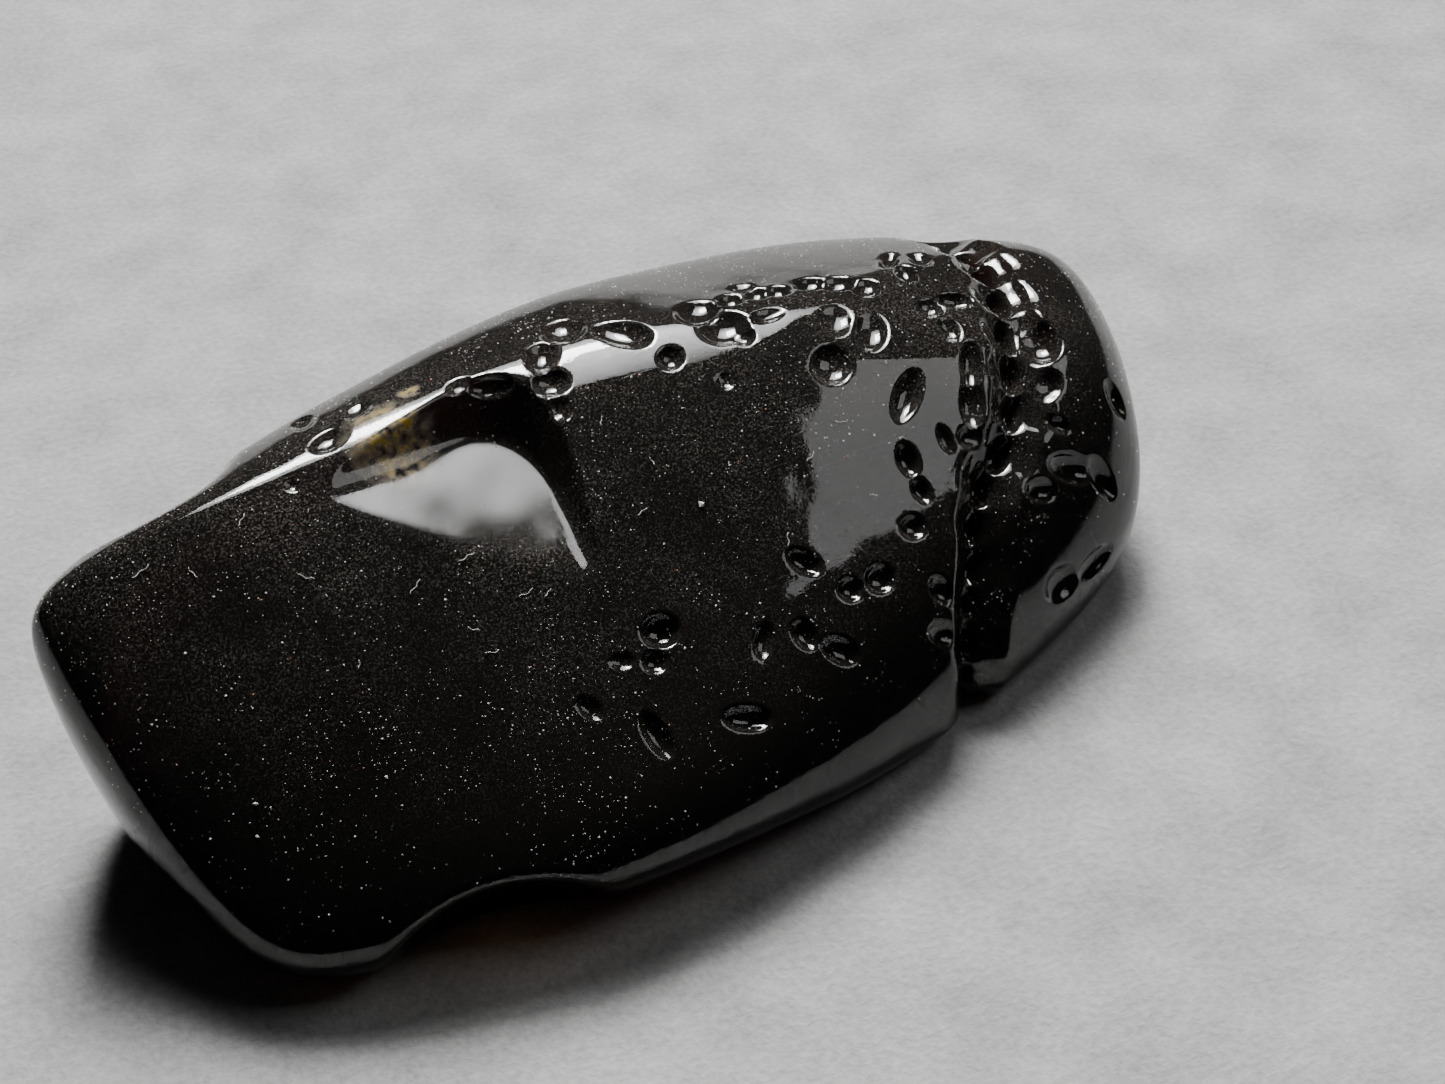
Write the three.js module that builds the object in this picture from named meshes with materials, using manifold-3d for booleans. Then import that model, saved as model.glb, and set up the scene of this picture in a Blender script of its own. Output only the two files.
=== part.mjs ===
// Tumbled tektite: one pebble of natural black glass, long and ridged, with a
// thumb-nail shelf under its crest, scattered bubble pits and a deep pitted neck
// that sets a small cap off from the body.
//
// Millimetres, +Z up.  X runs along the stone with the cap at +X, Y runs across it
// with the shelf on the -Y side.  The worn flat underside lies on z = 0.
import * as THREE from 'three';
import { mergeVertices } from 'three/addons/utils/BufferGeometryUtils.js';
import Module from 'manifold-3d';

const wasm = await Module();
wasm.setup();

// ---------------------------------------------------------------- driving sizes

const HEART = new THREE.Vector3(0.5, 0.5, 7.0); // the worn faces are measured from here
const STRETCH = new THREE.Vector3(2.1, 1.0, 0.8); // the stone is longer than wide than high

// Worn faces: azimuth (degrees from +X towards +Y), elevation, distance from HEART.
// The near faces and the far faces meet in a firm edge along the crest.
const NEAR_FACES = {
  nearFace: [269, 61, 2.9],
  nearLeft: [248, 52, 5.5],
  rightFacet: [284, 57, 4.3],
  nearRight: [292, 30, 8.1],
  nearLow: [286, 36, 6.8],
  shoulder: [271, 85, 5.6],
  rightRoof: [3, 77, 8.4],
};
const NEAR_BLEND = 0.6;
const FAR_FACES = {
  farRoof: [66, 70, 9.2],
  farMid: [103, 73, 8.4],
  farLeft: [119, 59, 11.8],
};
const FAR_BLEND = 0.5;
const RIDGE_BLEND = 0.4; // the crest, where the near faces meet the far ones

// The faces round the sides and underneath are worn softer.
const RIM_FACES = {
  underside: [0, -90, 7.9],
  nearFoot: [269, -41, 11.3],
  nearLeftFoot: [245, -42, 19.2],
  farFlank: [108, -16, 12.8],
  farFoot: [96, -42, 11.4],
  leftEnd: [186, -8, 20.7],
  leftFar: [145, 28, 22.3],
  leftEndLow: [200, -22, 20.8],
  leftNearLow: [217, -38, 21.5],
  nearRightFoot: [298, -28, 15.6],
  rightEnd: [337, 25, 21.4],
  rightFar: [55, 13, 25.3],
  rightNear: [304, 7, 20.0],
  rightLow: [4, -39, 23.3],
};
const RIM_BLEND = 1.2;

// The shelf: a gently domed floor let into the near face, with steep walls behind it
// and at its right-hand end, and a shallow ramp at its left.  Each is the way it faces
// (azimuth, elevation) and a point on it.
const SHELF_FLOOR = [
  { turn: [310, 79], at: [-5.2, 6.7, 12.0] },
  { turn: [302, 74], at: [-1.5, 5.6, 11.4] },
];
const SHELF_WALLS = {
  back: { turn: [288, 22], at: [-6.5, 6.3, 11.9] },
  right: { turn: [186, 28], at: [0.2, 3.2, 10.8] },
  left: { turn: [331, 74], at: [-8.8, 5.2, 12.4] },
};
const SHELF_FLOOR_BLEND = 0.6;
const SHELF_CORNER_BLEND = 3.8;
const SHELF_RAMP_BLEND = 0.8;
const SHELF_REACH = 11; // the cut only acts within this distance of its middle

// Broad shallow hollows: centre, half sizes, turn about Z, and how softly they run out.
const HOLLOWS = [
  { at: [-8.5, -11.0, 0.4], half: [5.0, 4.2, 3.9], turn: -10, blend: 0.8 }, // near foot
  { at: [-15.5, 11.5, 12.6], half: [4.6, 4.0, 3.6], turn: 10, blend: 0.8 }, // far edge
];

// Pits, each a small bowl sunk in the skin.  In order: a point near its middle (x, y, z),
// half length, half width, depth, and the turn of its length from +X in degrees.
const CREST_PITS = [
  [-7.8, 7.6, 12.9, 0.9, 0.6, 0.3, 30],
  [-8.1, 10.0, 12.1, 0.75, 0.45, 0.2, 80],
  [-6.1, 9.0, 12.7, 0.65, 0.4, 0.15, 40],
  [-0.9, 8.0, 12.9, 0.85, 0.5, 0.35, -10],
  [-2.1, 8.3, 13.0, 0.55, 0.45, 0.2, 35],
  [3.2, 10.0, 12.7, 1.3, 0.95, 0.5, 65],
  [1.6, 8.5, 12.9, 1.15, 0.7, 0.5, 60],
  [1.3, 7.0, 12.8, 0.8, 0.7, 0.45, 15],
  [5.1, 8.5, 12.6, 1.45, 0.95, 0.5, -60],
  [6.3, 6.5, 12.4, 0.65, 0.5, 0.35, 45],
  [1.1, 5.7, 12.5, 0.6, 0.5, 0.3, 45],
  [8.7, 8.7, 12.2, 1.4, 1.0, 0.5, 55],
  [9.1, 7.4, 12.1, 1.25, 1.05, 0.5, 35],
  [10.5, 9.3, 12.0, 0.8, 0.6, 0.45, 50],
  [9.6, 6.7, 12.0, 0.55, 0.5, 0.35, 40],
  [11.1, 7.4, 11.8, 0.8, 0.4, 0.2, 10],
  [11.8, 9.5, 11.8, 0.85, 0.6, 0.45, 55],
  [12.7, 9.3, 11.6, 0.75, 0.6, 0.4, 50],
  [11.6, 10.5, 11.7, 0.65, 0.45, 0.2, 20],
  [14.4, 9.5, 11.4, 0.95, 0.75, 0.45, 45],
  [15.4, 9.0, 11.2, 1.0, 0.8, 0.5, 40],
  [16.3, 8.2, 11.1, 0.9, 0.65, 0.4, 50],
  [13.7, 6.4, 11.5, 1.0, 0.7, 0.25, 50],
  [14.9, 5.5, 11.2, 1.2, 0.7, 0.35, 55],
  [12.5, 4.4, 11.4, 1.05, 0.85, 0.45, 45],
  [7.9, 4.8, 12.0, 0.35, 0.3, 0.14, 50],
];
const FACE_PITS = [
  [15.0, 2.4, 10.5, 1.4, 0.55, 0.4, 45],
  [15.8, 0.4, 9.4, 0.6, 0.3, 0.2, 90],
  [13.8, -0.0, 9.4, 0.75, 0.5, 0.4, 80],
  [13.8, -1.2, 8.7, 0.55, 0.4, 0.3, -85],
  [12.8, -2.3, 8.0, 0.6, 0.5, 0.3, 5],
  [7.7, -2.5, 8.4, 0.75, 0.5, 0.35, -50],
  [9.1, -3.8, 7.4, 0.55, 0.5, 0.3, 5],
  [10.5, -3.7, 7.3, 0.7, 0.6, 0.35, 5],
  [6.5, -4.8, 6.9, 0.65, 0.5, 0.3, -80],
  [7.7, -5.5, 6.1, 0.85, 0.55, 0.35, -40],
  [4.8, -4.6, 7.1, 0.75, 0.4, 0.25, 55],
  [1.1, -3.2, 8.1, 0.8, 0.7, 0.45, 0],
  [0.4, -4.1, 7.5, 0.5, 0.45, 0.25, 0],
  [-0.8, -3.7, 7.7, 0.45, 0.3, 0.15, -15],
  [-2.7, -4.8, 7.0, 0.55, 0.35, 0.2, -60],
  [2.9, -6.5, 5.3, 1.0, 0.5, 0.35, -20],
  [-0.7, -6.2, 5.8, 1.0, 0.45, 0.3, -80],
  [-9.9, 6.0, 12.7, 0.25, 0.25, 0.12, 55],
];
const NECK_AND_CAP_PITS = [
  [19.0, 10.8, 10.5, 1.2, 0.45, 0.35, 55],
  [18.8, 9.0, 10.7, 1.0, 0.5, 0.45, 70],
  [20.3, 10.3, 10.4, 0.9, 0.5, 0.3, 75],
  [18.2, 6.3, 10.8, 0.7, 0.55, 0.35, 35],
  [18.4, 4.9, 10.7, 0.7, 0.5, 0.3, 75],
  [19.7, 6.6, 10.6, 0.85, 0.55, 0.4, -10],
  [18.5, 3.1, 10.3, 1.3, 0.5, 0.5, 60],
  [17.7, 1.5, 9.8, 1.2, 0.55, 0.55, 65],
  [17.0, 0.3, 9.2, 0.65, 0.5, 0.35, 0],
  [23.1, 7.3, 10.0, 0.95, 0.5, 0.35, 80],
  [22.3, 3.9, 9.8, 1.35, 1.15, 0.9, 60],
  [22.1, 4.8, 10.0, 1.3, 0.85, 0.8, 50],
  [21.6, 1.7, 9.2, 0.95, 0.6, 0.4, 25],
  [21.4, 0.3, 8.2, 0.6, 0.35, 0.25, -35],
  [21.4, -0.9, 6.7, 1.5, 0.65, 0.45, -25],
  [22.8, -0.8, 5.5, 1.15, 0.6, 0.4, -60],
  [19.4, -1.6, 6.8, 0.85, 0.5, 0.35, -20],
  [25.1, 1.6, 7.2, 0.9, 0.5, 0.25, -70],
  [21.2, -2.5, 2.9, 1.3, 0.5, 0.25, 5],
  [19.1, -3.3, 3.2, 1.1, 0.75, 0.35, 0],
  [13.0, -4.3, 6.1, 0.65, 0.5, 0.3, -65],
  [12.4, -5.2, 4.7, 0.75, 0.5, 0.3, -25],
  [15.1, -4.5, 4.1, 0.9, 0.55, 0.3, -30],
];

// The neck: a chain of bowls round the stone, first broad and shallow, then narrow
// and deep down the middle of it.  Each bowl points at the next one.
const NECK_LINE = [
  [22.8, 12.9, 8.0],
  [23.2, 11.2, 9.6],
  [23.0, 9.1, 10.0],
  [22.3, 6.8, 10.1],
  [21.4, 4.6, 10.2],
  [20.6, 2.6, 9.8],
  [19.9, 1.0, 9.2],
  [18.5, -0.4, 8.4],
  [17.1, -1.4, 8.0],
  [16.1, -2.6, 7.0],
  [15.5, -3.6, 5.8],
  [14.7, -4.4, 4.7],
  [14.1, -5.1, 3.4],
  [13.7, -5.7, 2.0],
  [13.6, -5.8, 0.7],
];
const NECK_TROUGH = { halfLength: 1.6, halfWidth: 1.35, depth: 0.75 };
const NECK_CREVICE = { halfLength: 1.2, halfWidth: 0.6, depth: 1.5 };

const BOWL_LIFT = 0.5; // a bowl's centre stands off the skin by this share of its depth

// How finely each surface is divided.
const BODY_DETAIL = 9;
const SHELF_DETAIL = 5;
const TROUGH_DETAIL = 1;
const CREVICE_DETAIL = 1;
const PIT_DETAIL = 1;
const BIG_PIT = 1.2; // pits at least this long are divided one step finer

// ---------------------------------------------------------------- small helpers

const UP = new THREE.Vector3(0, 0, 1);
const vec = (p) => new THREE.Vector3(...p);

function direction([azimuth, elevation]) {
  const a = THREE.MathUtils.degToRad(azimuth);
  const e = THREE.MathUtils.degToRad(elevation);
  return new THREE.Vector3(Math.cos(a) * Math.cos(e), Math.sin(a) * Math.cos(e), Math.sin(e));
}

// A set of surfaces wrapped in one smooth skin, from the heights above each of them.
function wrap(heights, blend) {
  const top = Math.max(...heights);
  let sum = 0;
  for (const height of heights) sum += Math.exp((height - top) / blend);
  return top + blend * Math.log(sum);
}

// The smaller of two heights, run together over the blend distance.
function smoothMin(a, b, blend) {
  const overlap = Math.max(blend - Math.abs(a - b), 0) / blend;
  return Math.min(a, b) - overlap * overlap * blend * 0.25;
}

const smoothMax = (a, b, blend) => -smoothMin(-a, -b, blend);

// ---------------------------------------------------------------- surfaces

const wornPlane = ([azimuth, elevation, distance]) => {
  const normal = direction([azimuth, elevation]);
  return { normal, offset: distance + normal.dot(HEART) };
};
const planeThrough = ({ turn, at }) => {
  const normal = direction(turn);
  return { normal, offset: normal.dot(vec(at)) };
};
const heightOver = (point) => ({ normal, offset }) => normal.dot(point) - offset;

const nearPlanes = Object.values(NEAR_FACES).map(wornPlane);
const farPlanes = Object.values(FAR_FACES).map(wornPlane);
const rimPlanes = Object.values(RIM_FACES).map(wornPlane);
const floorPlanes = SHELF_FLOOR.map(planeThrough);
const wallPlanes = Object.values(SHELF_WALLS).map(planeThrough);

// Roughly the distance from a point to an egg, less than zero inside it.
function eggHeight(point, { at, half, turn }) {
  const size = vec(half);
  const from = point.clone().sub(vec(at));
  from.applyAxisAngle(UP, -THREE.MathUtils.degToRad(turn));
  const share = from.divide(size);
  const reach = share.length();
  return (reach * (reach - 1)) / share.divide(size).length();
}

function bodyHeight(point) {
  const near = wrap(nearPlanes.map(heightOver(point)), NEAR_BLEND);
  const far = wrap(farPlanes.map(heightOver(point)), FAR_BLEND);
  const crest = smoothMax(near, far, RIDGE_BLEND);
  let height = wrap([crest, ...rimPlanes.map(heightOver(point))], RIM_BLEND);
  for (const hollow of HOLLOWS) {
    height = smoothMax(height, -eggHeight(point, hollow), hollow.blend);
  }
  return height;
}

const floorHeight = (point) => wrap(floorPlanes.map(heightOver(point)), SHELF_FLOOR_BLEND);

function wallHeight(point) {
  const [back, right, left] = wallPlanes.map(heightOver(point));
  return smoothMin(smoothMin(back, right, SHELF_CORNER_BLEND), left, SHELF_RAMP_BLEND);
}

// Height above the stone with the shelf let in, before any pits.
const skinHeight = (point) => Math.max(
  bodyHeight(point),
  Math.min(floorHeight(point), wallHeight(point)),
);

function skinNormal(point) {
  const step = 0.05;
  const slope = (axis) => {
    const ahead = point.clone();
    const behind = point.clone();
    ahead[axis] += step;
    behind[axis] -= step;
    return skinHeight(ahead) - skinHeight(behind);
  };
  return new THREE.Vector3(slope('x'), slope('y'), slope('z')).normalize();
}

// Slide a point straight on to the skin.
function onSkin(start) {
  const point = vec(start);
  for (let step = 0; step < 12; step += 1) {
    point.addScaledVector(skinNormal(point), -skinHeight(point));
  }
  return point;
}

// ---------------------------------------------------------------- solids

function toSolid(geometry) {
  const bare = geometry.clone();
  bare.deleteAttribute('normal');
  bare.deleteAttribute('uv');
  const welded = mergeVertices(bare, 1e-5);
  return new wasm.Manifold(new wasm.Mesh({
    numProp: 3,
    vertProperties: new Float32Array(welded.attributes.position.array),
    triVerts: new Uint32Array(welded.index.array),
  }));
}

// A ball of triangles pushed outwards from a centre until it meets height zero.
function pushedOut(height, centre, detail, stretch = new THREE.Vector3(1, 1, 1)) {
  const geometry = new THREE.IcosahedronGeometry(1, detail);
  const place = geometry.attributes.position;
  const ray = new THREE.Vector3();
  const probe = new THREE.Vector3();
  for (let i = 0; i < place.count; i += 1) {
    ray.fromBufferAttribute(place, i).multiply(stretch).normalize();
    let inside = 0;
    let outside = 60;
    for (let halving = 0; halving < 40; halving += 1) {
      const middle = (inside + outside) / 2;
      probe.copy(centre).addScaledVector(ray, middle);
      if (height(probe) < 0) inside = middle;
      else outside = middle;
    }
    probe.copy(centre).addScaledVector(ray, inside);
    place.setXYZ(i, probe.x, probe.y, probe.z);
  }
  return toSolid(geometry);
}

function makeShelfCutter() {
  const middle = new THREE.Vector3(-6, 1, 14);
  const below = new THREE.Vector3(-6, 1, 5);
  const limit = (point) => point.distanceTo(middle) - SHELF_REACH;
  const deepLimit = (point) => point.distanceTo(below) - SHELF_REACH * 1.5;
  const air = pushedOut(
    (point) => Math.max(-wallHeight(point), limit(point)),
    middle,
    SHELF_DETAIL,
  );
  const floor = pushedOut(
    (point) => Math.max(floorHeight(point), deepLimit(point)),
    below,
    SHELF_DETAIL,
  );
  return air.subtract(floor);
}

// An egg that leaves a bowl of the given size where it meets the skin.
function makeBowl(point, along, { halfLength, halfWidth, depth }, detail) {
  const normal = skinNormal(point);
  const length = along.clone().addScaledVector(normal, -along.dot(normal)).normalize();
  const width = new THREE.Vector3().crossVectors(normal, length);
  const lift = depth * BOWL_LIFT;
  const height = depth + lift;
  const swell = 1 / Math.sqrt(1 - (lift / height) ** 2);
  const geometry = new THREE.IcosahedronGeometry(1, detail);
  geometry.scale(halfLength * swell, halfWidth * swell, height);
  geometry.applyMatrix4(new THREE.Matrix4().makeBasis(length, width, normal));
  const centre = point.clone().addScaledVector(normal, lift);
  geometry.translate(centre.x, centre.y, centre.z);
  return toSolid(geometry);
}

function makePit([x, y, z, halfLength, halfWidth, depth, turn]) {
  const point = onSkin([x, y, z]);
  const normal = skinNormal(point);
  const along = new THREE.Vector3(1, 0, 0).addScaledVector(normal, -normal.x).normalize();
  along.applyAxisAngle(normal, THREE.MathUtils.degToRad(turn));
  const detail = halfLength >= BIG_PIT ? PIT_DETAIL + 1 : PIT_DETAIL;
  return makeBowl(point, along, { halfLength, halfWidth, depth }, detail);
}

function makeNeck(bowl, detail) {
  const line = NECK_LINE.map(onSkin);
  return line.map((point, i) => {
    const from = line[Math.min(i, line.length - 2)];
    const to = line[Math.min(i, line.length - 2) + 1];
    return makeBowl(point, to.clone().sub(from), bowl, detail);
  });
}

function makeGroundCutter() {
  const slab = new THREE.BoxGeometry(80, 60, 10);
  slab.translate(0, 0, -5);
  return toSolid(slab);
}

// ---------------------------------------------------------------- the stone

function makeStone() {
  let stone = pushedOut(bodyHeight, HEART, BODY_DETAIL, STRETCH);
  const cutters = [
    makeShelfCutter(),
    ...makeNeck(NECK_TROUGH, TROUGH_DETAIL),
    ...makeNeck(NECK_CREVICE, CREVICE_DETAIL),
    ...[...CREST_PITS, ...FACE_PITS, ...NECK_AND_CAP_PITS].map(makePit),
    makeGroundCutter(),
  ];
  for (const cutter of cutters) stone = stone.subtract(cutter);
  return stone;
}

// Back to a plain geometry, centred over the origin with its underside on z = 0.
function toGeometry(solid) {
  const mesh = solid.getMesh();
  const geometry = new THREE.BufferGeometry();
  geometry.setAttribute('position', new THREE.BufferAttribute(mesh.vertProperties, 3));
  geometry.setIndex(new THREE.BufferAttribute(mesh.triVerts, 1));
  geometry.computeBoundingBox();
  const { min, max } = geometry.boundingBox;
  geometry.translate(-(min.x + max.x) / 2, -(min.y + max.y) / 2, -min.z);
  geometry.computeVertexNormals();
  return geometry;
}

const glass = new THREE.MeshStandardMaterial({
  name: 'tektite_glass',
  color: 0x0b0a08,
  roughness: 0.06,
  metalness: 0,
});

const stone = new THREE.Mesh(toGeometry(makeStone()), glass);
stone.name = 'stone';

const tektite = new THREE.Group();
tektite.name = 'tumbled_tektite';
tektite.add(stone);

export default tektite;
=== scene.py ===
# Tumbled tektite: the dressed model.  The pebble's skin is one height field, the same
# worn faces, shelf, hollows, pits and neck as the solid, meshed finely and shaded as
# dark natural glass, with dust and a little lint on it.
import math

import bpy
import numpy as np
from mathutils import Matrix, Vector


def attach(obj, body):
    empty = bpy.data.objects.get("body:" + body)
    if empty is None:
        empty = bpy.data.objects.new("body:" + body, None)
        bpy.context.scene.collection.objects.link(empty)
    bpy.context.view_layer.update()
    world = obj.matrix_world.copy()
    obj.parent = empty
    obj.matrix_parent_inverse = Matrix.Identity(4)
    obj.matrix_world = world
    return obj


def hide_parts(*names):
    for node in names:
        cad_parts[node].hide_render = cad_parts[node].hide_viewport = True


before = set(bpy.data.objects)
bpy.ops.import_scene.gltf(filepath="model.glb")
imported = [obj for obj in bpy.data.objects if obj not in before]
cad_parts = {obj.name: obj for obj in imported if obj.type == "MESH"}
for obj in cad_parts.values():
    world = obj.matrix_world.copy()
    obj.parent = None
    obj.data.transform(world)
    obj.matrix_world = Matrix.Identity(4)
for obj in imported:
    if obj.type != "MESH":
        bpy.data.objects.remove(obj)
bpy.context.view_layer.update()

MM = 0.001
# The stone is worked out in millimetres about its own heart, then moved by this much
# so that its box is centred over the origin.
TO_FRAME = np.array([-3.828, -3.49, 0.0])

# ---------------------------------------------------------------- driving sizes

HEART = np.array([0.5, 0.5, 7.0])

# Worn faces: azimuth (degrees from +X towards +Y), elevation, distance from HEART.
# The near faces and the far faces meet in a firm edge along the crest.
NEAR_FACES = {
    "near_face": (269, 61, 2.9),
    "near_left": (248, 52, 5.5),
    "right_facet": (284, 57, 4.3),
    "near_right": (292, 30, 8.1),
    "near_low": (286, 36, 6.8),
    "shoulder": (271, 85, 5.6),
    "right_roof": (3, 77, 8.4),
}
NEAR_BLEND = 0.6
FAR_FACES = {
    "far_roof": (66, 70, 9.2),
    "far_mid": (103, 73, 8.4),
    "far_left": (119, 59, 11.8),
}
FAR_BLEND = 0.5
RIDGE_BLEND = 0.4  # the crest, where the near faces meet the far ones
# The faces round the sides and underneath are worn softer.
RIM_FACES = {
    "underside": (0, -90, 7.9),
    "near_foot": (269, -41, 11.3),
    "near_left_foot": (245, -42, 19.2),
    "far_flank": (108, -16, 12.8),
    "far_foot": (96, -42, 11.4),
    "left_end": (186, -8, 20.7),
    "left_far": (145, 28, 22.3),
    "left_end_low": (200, -22, 20.8),
    "left_near_low": (217, -38, 21.5),
    "near_right_foot": (298, -28, 15.6),
    "right_end": (337, 25, 21.4),
    "right_far": (55, 13, 25.3),
    "right_near": (304, 7, 20.0),
    "right_low": (4, -39, 23.3),
}
RIM_BLEND = 1.2

# The shelf under the crest: each surface is the way it faces and a point on it.
SHELF_FLOOR = [((310, 79), (-5.2, 6.7, 12.0)), ((302, 74), (-1.5, 5.6, 11.4))]
SHELF_WALLS = [
    ((288, 22), (-6.5, 6.3, 11.9)),
    ((186, 28), (0.2, 3.2, 10.8)),
    ((331, 74), (-8.8, 5.2, 12.4)),
]
SHELF_FLOOR_BLEND = 0.6
SHELF_CORNER_BLEND = 3.8
SHELF_RAMP_BLEND = 0.8
SHELF_CREASE = 0.12  # how tight the crease between wall and floor is
SHELF_LIP = 0.2  # how tight the wall's upper edge is
SHELF_FADE = 2.6  # how softly the floor runs out into the face

# Broad hollows: centre, half sizes, turn about Z, blend.
HOLLOWS = [
    ((-8.5, -11.0, 0.4), (5.0, 4.2, 3.9), -10, 0.8),
    ((-15.5, 11.5, 12.6), (4.6, 4.0, 3.6), 10, 0.8),
]

# Pits: a point near the middle, half length, half width, depth, turn of the length.
CREST_PITS = [
    (-7.8, 7.6, 12.9, 0.9, 0.6, 0.3, 30),
    (-8.1, 10.0, 12.1, 0.75, 0.45, 0.2, 80),
    (-6.1, 9.0, 12.7, 0.65, 0.4, 0.15, 40),
    (-0.9, 8.0, 12.9, 0.85, 0.5, 0.35, -10),
    (-2.1, 8.3, 13.0, 0.55, 0.45, 0.2, 35),
    (3.2, 10.0, 12.7, 1.3, 0.95, 0.5, 65),
    (1.6, 8.5, 12.9, 1.15, 0.7, 0.5, 60),
    (1.3, 7.0, 12.8, 0.8, 0.7, 0.45, 15),
    (5.1, 8.5, 12.6, 1.45, 0.95, 0.5, -60),
    (6.3, 6.5, 12.4, 0.65, 0.5, 0.35, 45),
    (1.1, 5.7, 12.5, 0.6, 0.5, 0.3, 45),
    (8.7, 8.7, 12.2, 1.4, 1.0, 0.5, 55),
    (9.1, 7.4, 12.1, 1.25, 1.05, 0.5, 35),
    (10.5, 9.3, 12.0, 0.8, 0.6, 0.45, 50),
    (9.6, 6.7, 12.0, 0.55, 0.5, 0.35, 40),
    (11.1, 7.4, 11.8, 0.8, 0.4, 0.2, 10),
    (11.8, 9.5, 11.8, 0.85, 0.6, 0.45, 55),
    (12.7, 9.3, 11.6, 0.75, 0.6, 0.4, 50),
    (11.6, 10.5, 11.7, 0.65, 0.45, 0.2, 20),
    (14.4, 9.5, 11.4, 0.95, 0.75, 0.45, 45),
    (15.4, 9.0, 11.2, 1.0, 0.8, 0.5, 40),
    (16.3, 8.2, 11.1, 0.9, 0.65, 0.4, 50),
    (13.7, 6.4, 11.5, 1.0, 0.7, 0.25, 50),
    (14.9, 5.5, 11.2, 1.2, 0.7, 0.35, 55),
    (12.5, 4.4, 11.4, 1.05, 0.85, 0.45, 45),
    (7.9, 4.8, 12.0, 0.35, 0.3, 0.14, 50),
]
FACE_PITS = [
    (15.0, 2.4, 10.5, 1.4, 0.55, 0.4, 45),
    (15.8, 0.4, 9.4, 0.6, 0.3, 0.2, 90),
    (13.8, -0.0, 9.4, 0.75, 0.5, 0.4, 80),
    (13.8, -1.2, 8.7, 0.55, 0.4, 0.3, -85),
    (12.8, -2.3, 8.0, 0.6, 0.5, 0.3, 5),
    (7.7, -2.5, 8.4, 0.75, 0.5, 0.35, -50),
    (9.1, -3.8, 7.4, 0.55, 0.5, 0.3, 5),
    (10.5, -3.7, 7.3, 0.7, 0.6, 0.35, 5),
    (6.5, -4.8, 6.9, 0.65, 0.5, 0.3, -80),
    (7.7, -5.5, 6.1, 0.85, 0.55, 0.35, -40),
    (4.8, -4.6, 7.1, 0.75, 0.4, 0.25, 55),
    (1.1, -3.2, 8.1, 0.8, 0.7, 0.45, 0),
    (0.4, -4.1, 7.5, 0.5, 0.45, 0.25, 0),
    (-0.8, -3.7, 7.7, 0.45, 0.3, 0.15, -15),
    (-2.7, -4.8, 7.0, 0.55, 0.35, 0.2, -60),
    (2.9, -6.5, 5.3, 1.0, 0.5, 0.35, -20),
    (-0.7, -6.2, 5.8, 1.0, 0.45, 0.3, -80),
    (-9.9, 6.0, 12.7, 0.25, 0.25, 0.12, 55),
]
NECK_AND_CAP_PITS = [
    (19.0, 10.8, 10.5, 1.2, 0.45, 0.35, 55),
    (18.8, 9.0, 10.7, 1.0, 0.5, 0.45, 70),
    (20.3, 10.3, 10.4, 0.9, 0.5, 0.3, 75),
    (18.2, 6.3, 10.8, 0.7, 0.55, 0.35, 35),
    (18.4, 4.9, 10.7, 0.7, 0.5, 0.3, 75),
    (19.7, 6.6, 10.6, 0.85, 0.55, 0.4, -10),
    (18.5, 3.1, 10.3, 1.3, 0.5, 0.5, 60),
    (17.7, 1.5, 9.8, 1.2, 0.55, 0.55, 65),
    (17.0, 0.3, 9.2, 0.65, 0.5, 0.35, 0),
    (23.1, 7.3, 10.0, 0.95, 0.5, 0.35, 80),
    (22.3, 3.9, 9.8, 1.35, 1.15, 0.9, 60),
    (22.1, 4.8, 10.0, 1.3, 0.85, 0.8, 50),
    (21.6, 1.7, 9.2, 0.95, 0.6, 0.4, 25),
    (21.4, 0.3, 8.2, 0.6, 0.35, 0.25, -35),
    (21.4, -0.9, 6.7, 1.5, 0.65, 0.45, -25),
    (22.8, -0.8, 5.5, 1.15, 0.6, 0.4, -60),
    (19.4, -1.6, 6.8, 0.85, 0.5, 0.35, -20),
    (25.1, 1.6, 7.2, 0.9, 0.5, 0.25, -70),
    (21.2, -2.5, 2.9, 1.3, 0.5, 0.25, 5),
    (19.1, -3.3, 3.2, 1.1, 0.75, 0.35, 0),
    (13.0, -4.3, 6.1, 0.65, 0.5, 0.3, -65),
    (12.4, -5.2, 4.7, 0.75, 0.5, 0.3, -25),
    (15.1, -4.5, 4.1, 0.9, 0.55, 0.3, -30),
]
PIT_BLEND = 0.16

# The neck: a chain of bowls round the stone, each pointing at the next.
NECK_LINE = [
    (22.8, 12.9, 8.0),
    (23.2, 11.2, 9.6),
    (23.0, 9.1, 10.0),
    (22.3, 6.8, 10.1),
    (21.4, 4.6, 10.2),
    (20.6, 2.6, 9.8),
    (19.9, 1.0, 9.2),
    (18.5, -0.4, 8.4),
    (17.1, -1.4, 8.0),
    (16.1, -2.6, 7.0),
    (15.5, -3.6, 5.8),
    (14.7, -4.4, 4.7),
    (14.1, -5.1, 3.4),
    (13.7, -5.7, 2.0),
    (13.6, -5.8, 0.7),
]
NECK_TROUGH = (1.6, 1.35, 0.75)  # half length, half width, depth
NECK_CREVICE = (1.2, 0.6, 1.5)
TROUGH_BLEND = 0.5
CREVICE_BLEND = 0.25
BOWL_LIFT = 0.5  # a bowl's centre stands off the skin by this share of its depth
GROUND_BLEND = 0.3

# The slight unevenness that tumbling leaves: height and spacing of its waves.
WAVES = [(0.014, 7.0, 9), (0.003, 2.2, 11)]  # height, length, how many directions

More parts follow.
